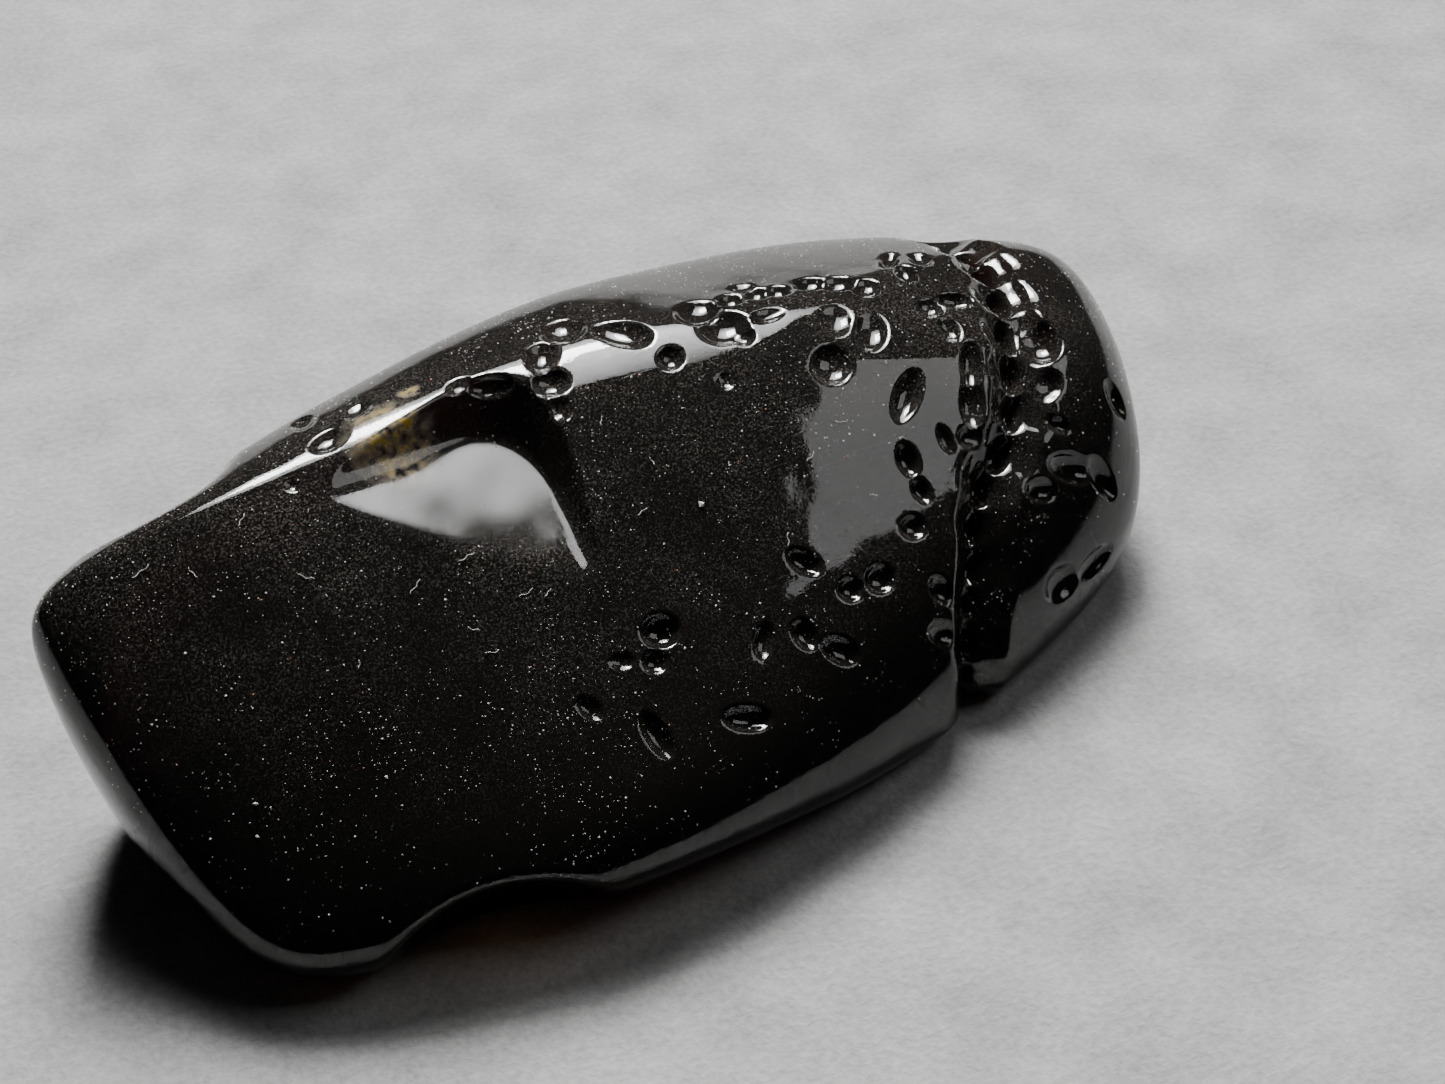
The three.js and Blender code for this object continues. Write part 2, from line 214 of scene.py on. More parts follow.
# The mesh: first net spacing, longest and shortest edge, and how much it may bend.
NET_LOW = np.array([-22.0, -12.0, -1.2])
NET_HIGH = np.array([30.0, 18.5, 14.6])
NET_STEP = 0.45
ROUNDS_OF_SPLITTING = 5
LONGEST_EDGE = 0.34
EDGE_IN_PITS = 0.17
SHORTEST_EDGE = 0.075
BEND = math.radians(9)

# Dust and lint.  A fibre is where it lies (x, y), the way it points and its length.
DUST_GRAINS = 7000
DUST_SIZE = 0.018
LINT_RADIUS = 0.014
LINT_SIDES = 5
LINT_STEPS = 9
LINT = [
    (9.6, -0.2, 30, 0.7),
    (11.5, 1.3, -20, 0.6),
    (7.5, -3.8, 75, 0.8),
    (-5.8, -3.7, -15, 0.7),
    (-11.2, 2.3, -40, 0.8),
    (-14.7, 4.3, -75, 0.7),
    (-6.0, -2.4, -35, 0.6),
    (-7.5, -0.3, 40, 0.9),
    (-3.7, -1.9, 10, 0.8),
    (-10.6, -2.7, 60, 0.5),
    (3.6, 1.9, 100, 0.5),
    (-5.3, 0.5, 15, 0.8),
    (-2.7, -2.2, 35, 0.5),
    (-16.9, 4.7, 20, 1.0),
    (2.0, -0.1, 25, 0.6),
    (-12.5, 5.2, 45, 0.7),
    (2.3, 4.5, 60, 0.5),
]

# Looks.
SHELF_MIDDLE = (-4.0, 4.5, 11.8)  # the polish is frosted round this point
SHELF_FROST_REACH = 6.0
GLASS_COLOUR = (0.66, 0.5, 0.14, 1)
GLASS_DENSITY = 2200.0
GLASS_IOR = 1.5
GLASS_RELIEF = 0.004
# Roughness of the clean polish, and what the film, the frost and the scratches add to it.
POLISH = 0.025
FILM_DULLS = 0.05
FROST_DULLS = 0.09
SCRATCHES_DULL = 0.1
SCRATCH_DEPTH = 0.35  # as a share of the relief
DUST_FILM = (0.72, 0.66, 0.58, 1)
DUSTY_FROM, DUSTY_TO = 5.0, 11.0  # heights between which the film of dust thickens
THICKEST_FILM = 1.3
CLEAREST, DUSTIEST = 0.992, 0.83  # how clear the glass is without the film and under it
# Painted glow: amber patches painted on the skin in place of the glow that light gives inside thin glass:
# the middle and reach of each, and how clear the glass is where one is strongest.
PAINTED_GLOW_COLOUR = (0.66, 0.42, 0.01, 1)
PAINTED_GLOW_SPOTS = [((-5.5, 6.9, 12.5), 2.2), ((-3.9, 9.0, 12.8), 0.6)]
PAINTED_GLOW_CLEAR = 0.45
DUST_COLOUR = (0.62, 0.6, 0.57, 1)
RUSTY_DUST_COLOUR = (0.45, 0.2, 0.12, 1)
LINT_PALE = (0.75, 0.74, 0.72, 1)
LINT_DARK = (0.45, 0.43, 0.4, 1)
FLOOR_DARKER = (0.2, 0.202, 0.2, 1)
FLOOR_LIGHTER = (0.39, 0.39, 0.385, 1)
FLOOR_GRAIN_SHARE = 0.4  # how much of the floor's mottling is fine grain
FLOOR_RELIEF = 0.12
FLOOR_SIZE = 3.0  # metres

# Lights round the stone: azimuth, elevation, width and height in degrees, brightness at
# the middle, and the spread of its beam, which fades the light softly towards its edges.
LIGHT_DISTANCE = 0.6  # metres
LIT_POINT = (0, 0, 0.008)  # what every light points at, in metres
LIGHTS = [
    ("key", 72, 46, 15, 18, 95.0, 60),
    ("window", 64, 46, 30, 34, 28.0, 46),
    ("side_card", -10, 45, 25, 31, 2.3, 180),
]
ROOM_COLOUR = (0.9, 0.95, 1.0, 1)
ROOM_BRIGHTNESS = 0.012
CAMERA_AT = np.array([-29.457, -68.361, 77.436])
CAMERA_TURN = (243, 42)  # the way from the stone to the camera
LENS = 65
SENSOR_WIDTH = 36
NEAREST_SEEN = 0.005  # metres

# ---------------------------------------------------------------- the height field


def direction(azimuth, elevation):
    a, e = math.radians(azimuth), math.radians(elevation)
    return np.array([math.cos(a) * math.cos(e), math.sin(a) * math.cos(e), math.sin(e)])


def wrap(heights, blend):
    """One smooth skin round a set of surfaces, from the heights above each."""
    scaled = heights / blend
    top = scaled.max(-1)
    return blend * (top + np.log(np.exp(scaled - top[..., None]).sum(-1)))


def smooth_max(a, b, blend):
    overlap = np.maximum(blend - np.abs(a - b), 0) / blend
    return np.maximum(a, b) + overlap * overlap * blend * 0.25


def smooth_min(a, b, blend):
    return -smooth_max(-a, -b, blend)


def worn_planes(faces):
    """The normals of a set of planes, and their distances from the origin."""
    normals = np.array([direction(az, el) for az, el, _ in faces.values()])
    return normals, np.array([far for _, _, far in faces.values()]) + normals @ HEART


def planes_through(surfaces):
    """The same for surfaces given by a point on each."""
    normals = np.array([direction(*turn) for turn, _ in surfaces])
    points = np.array([at for _, at in surfaces])
    return normals, (normals * points).sum(1)


NEAR_PLANES = worn_planes(NEAR_FACES)
FAR_PLANES = worn_planes(FAR_FACES)
RIM_PLANES = worn_planes(RIM_FACES)
FLOOR_PLANES = planes_through(SHELF_FLOOR)
WALL_PLANES = planes_through(SHELF_WALLS)


def over(points, planes):
    return points @ planes[0].T - planes[1]


def body_height(points):
    near = wrap(over(points, NEAR_PLANES), NEAR_BLEND)
    far = wrap(over(points, FAR_PLANES), FAR_BLEND)
    crest = smooth_max(near, far, RIDGE_BLEND)
    return wrap(np.column_stack([crest, over(points, RIM_PLANES)]), RIM_BLEND)


def let_in_shelf(points, height):
    floor = wrap(over(points, FLOOR_PLANES), SHELF_FLOOR_BLEND)
    back, right, left = over(points, WALL_PLANES).T
    wall = smooth_min(smooth_min(back, right, SHELF_CORNER_BLEND), left, SHELF_RAMP_BLEND)
    on_floor = np.clip(wall - floor, 0, 1)
    on_floor = on_floor * on_floor * (3 - 2 * on_floor)
    blend = SHELF_LIP + (SHELF_FADE - SHELF_LIP) * on_floor
    return smooth_max(height, smooth_min(floor, wall, SHELF_CREASE), blend)


def egg_height(points, centre, rows, half):
    """Distance from an egg whose axes are the given rows."""
    at = (points - centre) @ rows.T
    near = np.linalg.norm(at / half, axis=-1)
    slope = np.linalg.norm(at / np.square(half), axis=-1)
    return near * (near - 1) / np.maximum(slope, 1e-9)


def turned_about_z(degrees):
    c, s = math.cos(math.radians(degrees)), math.sin(math.radians(degrees))
    return np.array([[c, s, 0], [-s, c, 0], [0, 0, 1]])


def skin_height(points):
    """Height over the stone before any pits."""
    height = let_in_shelf(points, body_height(points))
    for centre, half, turn, blend in HOLLOWS:
        egg = egg_height(points, np.array(centre), turned_about_z(turn), np.array(half))
        height = smooth_max(height, -egg, blend)
    return height


CORNERS = np.array([(1, 1, 1), (1, -1, -1), (-1, 1, -1), (-1, -1, 1)], float)


def height_and_slope(height, points, step=0.008):
    """The field and its slope, from four samples round each point."""
    around = [height(points + corner * step) for corner in CORNERS]
    slope = sum(value[:, None] * corner for value, corner in zip(around, CORNERS))
    return sum(around) / 4, slope / (4 * step)


def unit(vectors):
    return vectors / np.maximum(np.linalg.norm(vectors, axis=-1, keepdims=True), 1e-12)


def settle(height, points, rounds, reach=0.5):
    """Slides points straight on to the surface, and gives their normals there."""
    for _ in range(rounds):
        value, slope = height_and_slope(height, points)
        size = np.maximum((slope * slope).sum(-1), 0.2)
        points = points - np.clip(value / size, -reach, reach)[:, None] * slope
    return points, unit(slope)


def bowl(at, towards, turn, half_length, half_width, depth, blend):
    """An egg that leaves a bowl of the given size where it meets the skin."""
    point, normal = (rows[0] for rows in settle(skin_height, np.array([at], float), 12))
    along = np.array([1.0, 0, 0]) if towards is None else np.array(towards) - point
    length = unit(along - normal * (along @ normal))
    width = np.cross(normal, length)
    a = math.radians(turn)
    length, width = (
        math.cos(a) * length + math.sin(a) * width,
        math.cos(a) * width - math.sin(a) * length,
    )
    lift = depth * BOWL_LIFT
    tall = depth + lift
    swell = 1 / math.sqrt(1 - (lift / tall) ** 2)
    half = np.array([half_length * swell, half_width * swell, tall])
    return point + normal * lift, np.stack([length, width, normal]), half, blend


def make_bowls():
    pits = CREST_PITS + FACE_PITS + NECK_AND_CAP_PITS
    bowls = [bowl(p[:3], None, p[6], *p[3:6], PIT_BLEND) for p in pits]
    after = NECK_LINE[1:] + [tuple(2 * np.array(NECK_LINE[-1]) - np.array(NECK_LINE[-2]))]
    for size, blend in ((NECK_TROUGH, TROUGH_BLEND), (NECK_CREVICE, CREVICE_BLEND)):
        for at, following in zip(NECK_LINE, after):
            bowls.append(bowl(at, following, 0, *size, blend))
    return bowls


BOWLS = make_bowls()


def make_waves():
    """Faint undulations that keep the faces from being dead flat."""
    draw = np.random.default_rng(7)
    waves = []
    for tall, length, count in WAVES:
        for _ in range(count):
            heading = unit(draw.normal(size=3)) * 2 * math.pi / length
            heading = heading * draw.uniform(0.7, 1.4)
            waves.append((heading, draw.uniform(0, 2 * math.pi), tall / math.sqrt(count)))
    return waves


RIPPLES = make_waves()


def points_by_bowl(points, margin=0.7):
    """For each bowl, which of the points lie near enough to feel it."""
    order = np.argsort(points[:, 0])
    along = points[order, 0]
    found = []
    for centre, _, half, _ in BOWLS:
        reach = half.max() + margin
        first, last = np.searchsorted(along, (centre[0] - reach, centre[0] + reach))
        some = order[first:last]
        found.append(some[(np.abs(points[some] - centre) < reach).all(1)])
    return found


def stone_height(points, by_bowl):
    """Height over the finished stone."""
    height = skin_height(points)
    for heading, phase, tall in RIPPLES:
        height = height + tall * np.sin(points @ heading + phase)
    for (centre, rows, half, blend), near in zip(BOWLS, by_bowl):
        egg = egg_height(points[near], centre, rows, half)
        height[near] = smooth_max(height[near], -egg, blend)
    return smooth_max(height, -points[:, 2], GROUND_BLEND)


def settle_on_stone(points, rounds, reach=0.5):
    by_bowl = points_by_bowl(points)
    return settle(lambda moved: stone_height(moved, by_bowl), points, rounds, reach)


# ---------------------------------------------------------------- meshing


def shifted(array, axis, first, second):
    """The corner array as seen by the cells on one side of an edge."""
    cut = [slice(None)] * 3
    others = [k for k in range(3) if k != axis]
    for k, back in zip(others, (first, second)):
        cut[k] = slice(back, array.shape[k] - 1 + back)
    return array[tuple(cut)]


def net(height, low, high, step):
    """A first closed mesh: one point in each grid cell that the surface crosses."""
    ticks = [np.arange(a, b + step, step) for a, b in zip(low, high)]
    grid = np.stack(np.meshgrid(*ticks, indexing="ij"), -1)
    value = height(grid.reshape(-1, 3)).reshape(grid.shape[:3])
    cells = tuple(n - 1 for n in value.shape)
    total = np.zeros(cells + (3,))
    count = np.zeros(cells)
    edges = []
    for axis in range(3):
        head = [slice(None)] * 3
        tail = [slice(None)] * 3
        head[axis], tail[axis] = slice(None, -1), slice(1, None)
        a, b = value[tuple(head)], value[tuple(tail)]
        crosses = (a < 0) != (b < 0)
        share = np.where(crosses, a / np.where(crosses, a - b, 1), 0)
        point = grid[tuple(head)].copy()
        point[..., axis] += share * step
        edges.append((crosses, a < 0))
        for first in (0, 1):
            for second in (0, 1):
                seen = shifted(crosses, axis, first, second)
                total += shifted(point, axis, first, second) * seen[..., None]
                count += seen
    number = np.full(cells, -1)
    used = count > 0
    number[used] = np.arange(used.sum())
    points = total[used] / count[used][:, None]
    quads = []
    for axis, (crosses, starts_inside) in enumerate(edges):
        i, j, k = (axis, *[n for n in range(3) if n != axis])
        where = np.argwhere(crosses)
        ahead = starts_inside[tuple(where.T)]
        corner = []
        for first, second in ((1, 1), (0, 1), (0, 0), (1, 0)):
            cell = where.copy()
            cell[:, j] -= first
            cell[:, k] -= second
            corner.append(number[tuple(cell.T)])
        quad = np.stack(corner, 1)
        flip = ahead if axis == 1 else ~ahead
        quad[flip] = quad[flip][:, ::-1]
        quads.append(quad)
    quads = np.concatenate(quads)
    one = np.linalg.norm(points[quads[:, 0]] - points[quads[:, 2]], axis=1)
    two = np.linalg.norm(points[quads[:, 1]] - points[quads[:, 3]], axis=1)
    short = one <= two
    a, b, c, d = quads.T
    first = np.where(short[:, None], np.stack([a, b, c], 1), np.stack([a, b, d], 1))
    second = np.where(short[:, None], np.stack([a, c, d], 1), np.stack([b, c, d], 1))
    return points, np.concatenate([first, second])


def edges_of(triangles):
    """The edges, and for each triangle the numbers of its three."""
    start, end = triangles.T.ravel(), np.roll(triangles, -1, 1).T.ravel()
    span = triangles.max() + 1
    keys, back = np.unique(np.minimum(start, end) * span + np.maximum(start, end), return_inverse=True)
    return np.stack([keys // span, keys % span], 1), back.reshape(3, -1).T


def split(points, triangles, edges, of_triangle, marked):
    """Halves the marked edges and redivides the triangles on them."""
    middle = np.full(len(edges), -1)
    middle[marked] = len(points) + np.arange(marked.sum())
    points = np.concatenate([points, points[edges[marked]].mean(1)])
    parts = middle[of_triangle]
    cut = parts >= 0
    count = cut.sum(1)
    made = [triangles[count == 0]]
    for turn in range(3):
        t = np.roll(triangles, -turn, 1)
        m = np.roll(parts, -turn, 1)
        c = np.roll(cut, -turn, 1)
        one = (count == 1) & c[:, 0]
        made.append(np.stack([t[one, 0], m[one, 0], t[one, 2]], 1))
        made.append(np.stack([m[one, 0], t[one, 1], t[one, 2]], 1))
        two = (count == 2) & c[:, 0] & c[:, 1]
        made.append(np.stack([m[two, 0], t[two, 1], m[two, 1]], 1))
        low = np.linalg.norm(points[t[two, 0]] - points[m[two, 1]], axis=1)
        high = np.linalg.norm(points[m[two, 0]] - points[t[two, 2]], axis=1)
        near, far = np.where(two)[0][low <= high], np.where(two)[0][low > high]
        made.append(np.stack([t[near, 0], m[near, 0], m[near, 1]], 1))
        made.append(np.stack([t[near, 0], m[near, 1], t[near, 2]], 1))
        made.append(np.stack([t[far, 0], m[far, 0], t[far, 2]], 1))
        made.append(np.stack([m[far, 0], m[far, 1], t[far, 2]], 1))
    every = count == 3
    t, m = triangles[every], parts[every]
    made.append(np.stack([t[:, 0], m[:, 0], m[:, 2]], 1))
    made.append(np.stack([m[:, 0], t[:, 1], m[:, 1]], 1))
    made.append(np.stack([m[:, 2], m[:, 1], t[:, 2]], 1))
    made.append(m)
    return points, np.concatenate(made)


def opposite_angles(points, triangles, of_triangle, n_edges):
    """For each edge, the sum of the two angles that face it."""
    total = np.zeros(n_edges)
    for side in range(3):
        a, b, c = (points[triangles[:, (side + k) % 3]] for k in range(3))
        u, v = a - c, b - c
        turn = np.arctan2(np.linalg.norm(np.cross(u, v), axis=1), (u * v).sum(1))
        total += np.bincount(of_triangle[:, side], turn, n_edges)
    return total


def flip_edges(points, triangles, rounds=6):
    """Swaps the shared edge of two triangles where that makes them less thin."""
    for _ in range(rounds):
        edges, of_triangle = edges_of(triangles)
        angle = opposite_angles(points, triangles, of_triangle, len(edges))
        wish = angle > math.pi + 0.05
        best = np.where(wish, angle, 0)
        top = best[of_triangle].max(1)
        chosen = wish.copy()
        for side in range(3):
            lost = best[of_triangle[:, side]] < top
            chosen[of_triangle[lost, side]] = False
        rows, sides = np.where(chosen[of_triangle])
        if not len(rows):
            break
        order = np.argsort(of_triangle[rows, sides], kind="stable")
        rows, sides = rows[order], sides[order]
        key = of_triangle[rows, sides]
        pair = np.where(key[:-1] == key[1:])[0]
        first, second = rows[pair], rows[pair + 1]
        a = triangles[first, sides[pair]]
        b = triangles[first, (sides[pair] + 1) % 3]
        c = triangles[first, (sides[pair] + 2) % 3]
        d = triangles[second, (sides[pair + 1] + 2) % 3]
        normal = np.cross(points[b] - points[a], points[c] - points[a])
        left = np.cross(points[d] - points[a], points[c] - points[a])
        right = np.cross(points[b] - points[d], points[c] - points[d])
        known = edges[:, 0] * len(points) + edges[:, 1]
        fresh = ~np.isin(np.minimum(c, d) * len(points) + np.maximum(c, d), known)
        fair = ((normal * left).sum(1) > 0) & ((normal * right).sum(1) > 0) & fresh
        new_key = np.minimum(c, d) * len(points) + np.maximum(c, d)
        _, lone = np.unique(new_key[fair], return_index=True)
        keep = np.where(fair)[0][lone]
        triangles = triangles.copy()
        triangles[first[keep]] = np.stack([a[keep], d[keep], c[keep]], 1)
        triangles[second[keep]] = np.stack([d[keep], b[keep], c[keep]], 1)
    return triangles


def relax(points, normals, triangles, share=0.4):
    """Evens the spacing of the points along the surface."""
    edges, _ = edges_of(triangles)
    count = np.bincount(edges.ravel(), minlength=len(points))
    middle = np.zeros_like(points)
    for axis in range(3):
        middle[:, axis] = np.bincount(edges[:, 0], points[edges[:, 1], axis], len(points))
        middle[:, axis] += np.bincount(edges[:, 1], points[edges[:, 0], axis], len(points))
    move = middle / np.maximum(count, 1)[:, None] - points
    move -= normals * (move * normals).sum(1)[:, None]
    return points + move * share


def edge_limit(middles):
    """The longest edge allowed at each place: finer inside and round the bowls."""
    limit = np.full(len(middles), LONGEST_EDGE)
    for (centre, rows, half, _), near in zip(BOWLS, points_by_bowl(middles, 0.3)):
        inside = np.linalg.norm((middles[near] - centre) @ rows.T / half, axis=1) < 1.15
        limit[near[inside]] = EDGE_IN_PITS
    return limit


def untangle(points, normals, triangles, rounds=4):
    """Evens out any points round a triangle that has turned over."""
    for _ in range(rounds):
        a, b, c = (points[triangles[:, k]] for k in range(3))
        facing = (np.cross(b - a, c - a) * normals[triangles].sum(1)).sum(1)
        bad = np.unique(triangles[facing <= 0])
        if not len(bad):
            break
        points[bad] = relax(points, normals, triangles, 0.8)[bad]
        points[bad], normals[bad] = settle_on_stone(points[bad], 2, 0.1)
    return points, normals


def mesh_stone():
    def grounded(points):
        return smooth_max(skin_height(points), -points[:, 2], GROUND_BLEND)

    points, triangles = net(grounded, NET_LOW, NET_HIGH, NET_STEP)
    points, normals = settle_on_stone(points, 4)
    for _ in range(ROUNDS_OF_SPLITTING):
        edges, of_triangle = edges_of(triangles)
        ends = points[edges]
        length = np.linalg.norm(ends[:, 0] - ends[:, 1], axis=1)
        cosine = (normals[edges[:, 0]] * normals[edges[:, 1]]).sum(1)
        bent = (cosine < math.cos(BEND)) & (length > 2 * SHORTEST_EDGE)
        marked = (length > edge_limit(ends.mean(1))) | bent
        if not marked.any():
            break
        old = len(points)
        points, triangles = split(points, triangles, edges, of_triangle, marked)
        fresh, fresh_normals = settle_on_stone(points[old:], 3, 0.2)
        points = np.concatenate([points[:old], fresh])
        normals = np.concatenate([normals, fresh_normals])
        triangles = flip_edges(points, triangles)
        points, normals = settle_on_stone(relax(points, normals, triangles), 2, 0.2)
        triangles = flip_edges(points, triangles, 3)
    points, normals = settle_on_stone(relax(points, normals, triangles, 0.3), 2, 0.1)
    points, normals = untangle(points, normals, triangles)
    return points, triangles, normals


def make_stone():
    points, triangles, normals = mesh_stone()
    mesh = bpy.data.meshes.new("stone_skin")
    mesh.from_pydata(((points + TO_FRAME) * MM).tolist(), [], triangles.tolist())
    mesh.validate()
    mesh.shade_smooth()
    mesh.normals_split_custom_set_from_vertices(normals.tolist())
    return add("stone_skin", mesh), points, triangles


def add(name, mesh):
    piece = bpy.data.objects.new(name, mesh)
    bpy.context.collection.objects.link(piece)
    return piece


# ---------------------------------------------------------------- dust and lint

CHIP_POINTS = np.array([(1, 0, 0), (0, 1, 0), (-1, 0, 0), (0, -1, 0), (0, 0, 1), (0, 0, -1)], float)
CHIP_TRIANGLES = np.array(
    [(0, 1, 4), (1, 2, 4), (2, 3, 4), (3, 0, 4), (1, 0, 5), (2, 1, 5), (3, 2, 5), (0, 3, 5)]
)


def sides_of(normals):
    """Two directions along the surface for each normal."""
    first = unit(np.cross(normals, np.array([0.31, 0.95, 0.05])))
    return first, np.cross(normals, first)


def patchiness(points, draw, length, count=5):
    """A soft random pattern between about 0 and 1."""
    total = np.zeros(len(points))
    for _ in range(count):
        heading = unit(draw.normal(size=3)) * 2 * math.pi / length
        total += np.sin(points @ heading + draw.uniform(0, 2 * math.pi))
    return np.clip(0.5 + total / count, 0, 1)


def make_dust(points, triangles):
    """Grains of dust lying on whatever faces up."""
    draw = np.random.default_rng(11)
    a, b, c = (points[triangles[:, k]] for k in range(3))
    across = np.cross(b - a, c - a)
    area = np.linalg.norm(across, axis=1)
    normal = unit(across)
    chance = area * np.clip(normal[:, 2] - 0.05, 0, 1)
    chance *= 0.12 + patchiness(a, draw, 9.0) ** 2 * 0.5 + patchiness(a, draw, 2.5) ** 3
    chosen = draw.choice(len(triangles), DUST_GRAINS, p=chance / chance.sum())
    one, two = draw.uniform(size=(2, DUST_GRAINS, 1))
    turn = one + two > 1
    one, two = np.where(turn, 1 - one, one), np.where(turn, 1 - two, two)
    at = a[chosen] + (b - a)[chosen] * one + (c - a)[chosen] * two
    size = DUST_SIZE * np.exp(draw.normal(0, 0.45, DUST_GRAINS))[:, None, None]
    along, side = sides_of(normal[chosen])
    spin = draw.uniform(0, math.pi, (DUST_GRAINS, 1))
    along, side = (
        along * np.cos(spin) + side * np.sin(spin),
        side * np.cos(spin) - along * np.sin(spin),
    )
    shape = draw.uniform(0.5, 1.4, (DUST_GRAINS, 6, 3)) * CHIP_POINTS
    axes = np.stack([along, side, normal[chosen] * 0.6], 1)
    corners = at[:, None] + np.einsum("gcx,gxy->gcy", shape * size, axes)
    corners += normal[chosen][:, None] * size * 0.2
    numbers = CHIP_TRIANGLES + 6 * np.arange(DUST_GRAINS)[:, None, None]
    mesh = bpy.data.meshes.new("dust")
    mesh.from_pydata(
        ((corners.reshape(-1, 3) + TO_FRAME) * MM).tolist(), [], numbers.reshape(-1, 3).tolist()
    )
    return add("dust", mesh)


def make_lint():
    """Short curled fibres, each a thin tube laid along the stone."""
    draw = np.random.default_rng(5)
    corners, faces = [], []
    ring = np.linspace(0, 2 * math.pi, LINT_SIDES, endpoint=False)
    for x, y, heading, length in LINT:
        share = np.linspace(-0.5, 0.5, LINT_STEPS)
        bend = draw.uniform(-0.7, 0.7)
        a = math.radians(heading) + bend * share + 0.5 * np.sin(share * 9 + draw.uniform(0, 6))
        step = length / LINT_STEPS
        line = np.zeros((LINT_STEPS, 3))
        line[:, 0] = x + np.cumsum(np.cos(a)) * step
        line[:, 1] = y + np.cumsum(np.sin(a)) * step
        line[:, 2] = 12.0
        line, normal = settle_on_stone(line, 14)
        line += normal * (LINT_RADIUS + 0.06 * (1 - np.cos(share * 6))[:, None] * draw.uniform(0.2, 1))
        along = unit(np.gradient(line, axis=0))
        side = np.cross(normal, along)
        tube = line[:, None] + LINT_RADIUS * (
            np.cos(ring)[:, None] * side[:, None] + np.sin(ring)[:, None] * normal[:, None]
        )
        first = sum(len(part) for part in corners)
        corners.append(tube.reshape(-1, 3))
        for i in range(LINT_STEPS - 1):
            for j in range(LINT_SIDES):
                k = (j + 1) % LINT_SIDES
                low, high = first + i * LINT_SIDES, first + (i + 1) * LINT_SIDES
                faces.append((low + j, low + k, high + k, high + j))
        faces.append(tuple(first + j for j in reversed(range(LINT_SIDES))))
        faces.append(tuple(first + (LINT_STEPS - 1) * LINT_SIDES + j for j in range(LINT_SIDES)))
    mesh = bpy.data.meshes.new("lint")
    mesh.from_pydata(((np.concatenate(corners) + TO_FRAME) * MM).tolist(), [], faces)
    mesh.shade_smooth()
    return add("lint", mesh)


# ---------------------------------------------------------------- materials


def new_material(name):
    material = bpy.data.materials.new(name)
    material.use_nodes = True
    tree = material.node_tree
    for old in list(tree.nodes):
        tree.nodes.remove(old)
    return material, tree


def node(tree, kind, settings=None, **inputs):
    """A shader node.  Inputs are named, or numbered as in _0 for the first."""
    made = tree.nodes.new(kind)
    for key, value in (settings or {}).items():
        setattr(made, key, value)
    for key, value in inputs.items():
        socket = made.inputs[int(key[1:])] if key[0] == "_" else made.inputs[key.replace("_", " ")]
        if isinstance(value, bpy.types.NodeSocket):
            tree.links.new(value, socket)
        else:
            socket.default_value = value
    return made


def noise(tree, place, spacing, detail=3.0, rough=0.55):
    """Noise whose blotches are about the given number of millimetres across."""
    return node(
        tree, "ShaderNodeTexNoise", Vector=place, Scale=1 / (spacing * MM), Detail=detail, Roughness=rough
    ).outputs["Fac"]


def between(tree, value, low, high, to_low=0.0, to_high=1.0):
    """Maps low..high to to_low..to_high, clamped."""
    return node(
        tree,
        "ShaderNodeMapRange",
        Value=value,
        From_Min=low,
        From_Max=high,
        To_Min=to_low,
        To_Max=to_high,
    ).outputs["Result"]


def math_node(tree, operation, first, second):
    return node(tree, "ShaderNodeMath", {"operation": operation}, _0=first, _1=second).outputs[0]


def mixed(tree, share, first, second):
    made = node(tree, "ShaderNodeMix", {"data_type": "RGBA"}, _0=share, _6=first, _7=second)
    return made.outputs[2]


def near_to(tree, place, centre, reach):
    """1 at a place on the stone, fading to 0 at the given reach."""
    at = ((np.array(centre) + TO_FRAME) * MM).tolist()
    far = node(tree, "ShaderNodeVectorMath", {"operation": "DISTANCE"}, _0=place, _1=at)
    return between(tree, far.outputs["Value"], reach * 0.45 * MM, reach * MM, 1.0, 0.0)


def scratches(tree, place, turn, spacing):
    """Long fine streaks running one way across the stone."""
    mapped = node(
        tree,
        "ShaderNodeMapping",
        Vector=place,
        Rotation=[math.radians(angle) for angle in turn],
        Scale=(0.04, 1.0, 1.0),
    ).outputs["Vector"]
    return between(tree, noise(tree, mapped, spacing, 2.0), 0.66, 0.74)


def finish_surface(tree, principled):
    out = node(tree, "ShaderNodeOutputMaterial")
    tree.links.new(principled.outputs["BSDF"], out.inputs["Surface"])
    return out


